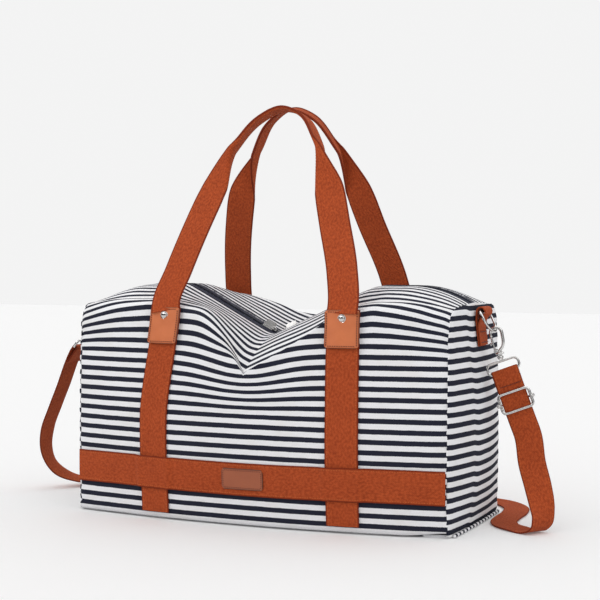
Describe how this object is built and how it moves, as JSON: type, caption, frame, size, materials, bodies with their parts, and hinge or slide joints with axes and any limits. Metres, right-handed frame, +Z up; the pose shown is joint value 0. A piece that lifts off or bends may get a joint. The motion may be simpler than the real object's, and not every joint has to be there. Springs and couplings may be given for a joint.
{
  "type": "weekender bag",
  "caption": "Soft striped canvas weekender bag with a sagging zipped top, webbing carry handles, leather tabs, end rings and a clip-on adjustable shoulder strap.",
  "frame": {"origin": "centre of the base's flat underside", "axes": "+X along the bag's length, to the right as seen from the front; the front faces -Y; +Z up"},
  "size_m": [0.7107, 0.3275, 0.5016],
  "materials": {
    "canvas": "striped navy and white woven canvas, matte",
    "lining": "plain woven, matte",
    "board": "matte",
    "zip_tape": "navy woven tape, matte",
    "webbing": "rust brown cotton webbing, matte",
    "leather": "smooth tan, satin",
    "metal": "polished silver"
  },
  "bodies": {
    "bag": {"back_band": "webbing", "back_panel": "canvas", "base_board": "board", "base_panel": "canvas", "end_tab_left": "webbing", "end_tab_right": "webbing", "front_band": "webbing", "front_panel": "canvas", "leather_patch": "leather", "leather_tab_back_left": "leather", "leather_tab_back_right": "leather", "leather_tab_front_left": "leather", "leather_tab_front_right": "leather", "left_end_panel": "canvas", "left_end_piping": "canvas", "lining": "lining", "right_end_panel": "canvas", "right_end_piping": "canvas", "rivet_back_left": "metal", "rivet_back_right": "metal", "rivet_front_left": "metal", "rivet_front_right": "metal", "webbing_back_left": "webbing", "webbing_back_right": "webbing", "webbing_front_left": "webbing", "webbing_front_right": "webbing"},
    "top_front": {"top_flap_front": "canvas", "zip_tape_front": "zip_tape", "zip_chain_front": "zip_tape"},
    "top_back": {"top_flap_back": "canvas", "zip_tape_back": "zip_tape", "zip_chain_back": "zip_tape"},
    "slider_left": {"zip_slider_left": "metal"},
    "slider_right": {"zip_slider_right": "metal"},
    "pull_left": {"zip_pull_left": "metal"},
    "pull_right": {"zip_pull_right": "metal"},
    "handle_front": {"front_handle": "webbing"},
    "handle_back": {"back_handle": "webbing"},
    "ring_left": {"end_ring_left": "metal"},
    "ring_right": {"end_ring_right": "metal"},
    "strap": {"shoulder_strap": "webbing", "strap_loop_left": "metal", "strap_loop_right": "metal", "swivel_stud_left": "metal", "swivel_stud_right": "metal"},
    "snap_left": {"hook_left": "metal", "hook_cup_left": "metal"},
    "snap_right": {"hook_right": "metal", "hook_cup_right": "metal"},
    "gate_left": {"hook_gate_left": "metal"},
    "gate_right": {"hook_gate_right": "metal"},
    "adjuster": {"adjuster_frame": "metal", "adjuster_bar": "metal"}
  },
  "joints": [
    {"name": "top_front_open", "type": "hinge", "parent": "bag", "child": "top_front", "pos_m": [0, -0.12, 0.217], "axis": [1, 0, 0], "range_deg": [0, 22]},
    {"name": "top_back_open", "type": "hinge", "parent": "bag", "child": "top_back", "pos_m": [0, 0.12, 0.237], "axis": [1, 0, 0], "range_deg": [-22, 0]},
    {"name": "zip_left_slide", "type": "slide", "parent": "top_front", "child": "slider_left", "axis": [-0.8884, 0, 0.459], "range_m": [0, 0.088]},
    {"name": "pull_left_turn", "type": "hinge", "parent": "slider_left", "child": "pull_left", "pos_m": [-0.01843, 0, 0.22842], "axis": [0, 1, 0], "range_deg": [0, 150]},
    {"name": "zip_right_slide", "type": "slide", "parent": "top_front", "child": "slider_right", "axis": [0.9143, 0, 0.4049], "range_m": [0, 0.088]},
    {"name": "pull_right_turn", "type": "hinge", "parent": "slider_right", "child": "pull_right", "pos_m": [-0.00132, 0, 0.22776], "axis": [0, -1, 0], "range_deg": [0, 150]},
    {"name": "front_handle_swing", "type": "hinge", "parent": "bag", "child": "handle_front", "pos_m": [0, -0.11473, 0.26], "axis": [1, 0, 0], "range_deg": [0, 130]},
    {"name": "back_handle_swing", "type": "hinge", "parent": "bag", "child": "handle_back", "pos_m": [0, 0.11473, 0.26], "axis": [-1, 0, 0], "range_deg": [0, 130]},
    {"name": "ring_left_swing", "type": "hinge", "parent": "bag", "child": "ring_left", "pos_m": [-0.253, 0, 0.2525], "axis": [0, 1, 0], "range_deg": [-1, 1]},
    {"name": "ring_right_swing", "type": "hinge", "parent": "bag", "child": "ring_right", "pos_m": [0.253, 0, 0.2525], "axis": [0, -1, 0], "range_deg": [-1, 1]},
    {"name": "strap_swing", "type": "hinge", "parent": "bag", "child": "strap", "pos_m": [0, 0, 0.2447], "axis": [1, 0, 0], "range_deg": [0, 24]},
    {"name": "hook_left_swivel", "type": "hinge", "parent": "strap", "child": "snap_left", "pos_m": [-0.28715, 0, 0.21242], "axis": [0.722, 0, 0.6919], "range_deg": [-12, 12]},
    {"name": "gate_left_press", "type": "hinge", "parent": "snap_left", "child": "gate_left", "pos_m": [-0.28094, 0, 0.21172], "axis": [0, -1, 0], "range_deg": [0, 18], "stiffness_Nm_per_rad": 0.02, "springref_deg": -17.19},
    {"name": "hook_right_swivel", "type": "hinge", "parent": "strap", "child": "snap_right", "pos_m": [0.27196, 0, 0.20318], "axis": [-0.2, 0, 0.9798], "range_deg": [-12, 12]},
    {"name": "gate_right_press", "type": "hinge", "parent": "snap_right", "child": "gate_right", "pos_m": [0.26645, 0, 0.20614], "axis": [0, 1, 0], "range_deg": [0, 18], "stiffness_Nm_per_rad": 0.02, "springref_deg": -17.19},
    {"name": "adjuster_slide", "type": "slide", "parent": "strap", "child": "adjuster", "axis": [0.3609, -0.0201, -0.9324], "range_m": [0, 0.03]}
  ],
  "couplings": [
    {"joint": "top_back_open", "follows": "top_front_open", "ratio": -1}
  ]
}
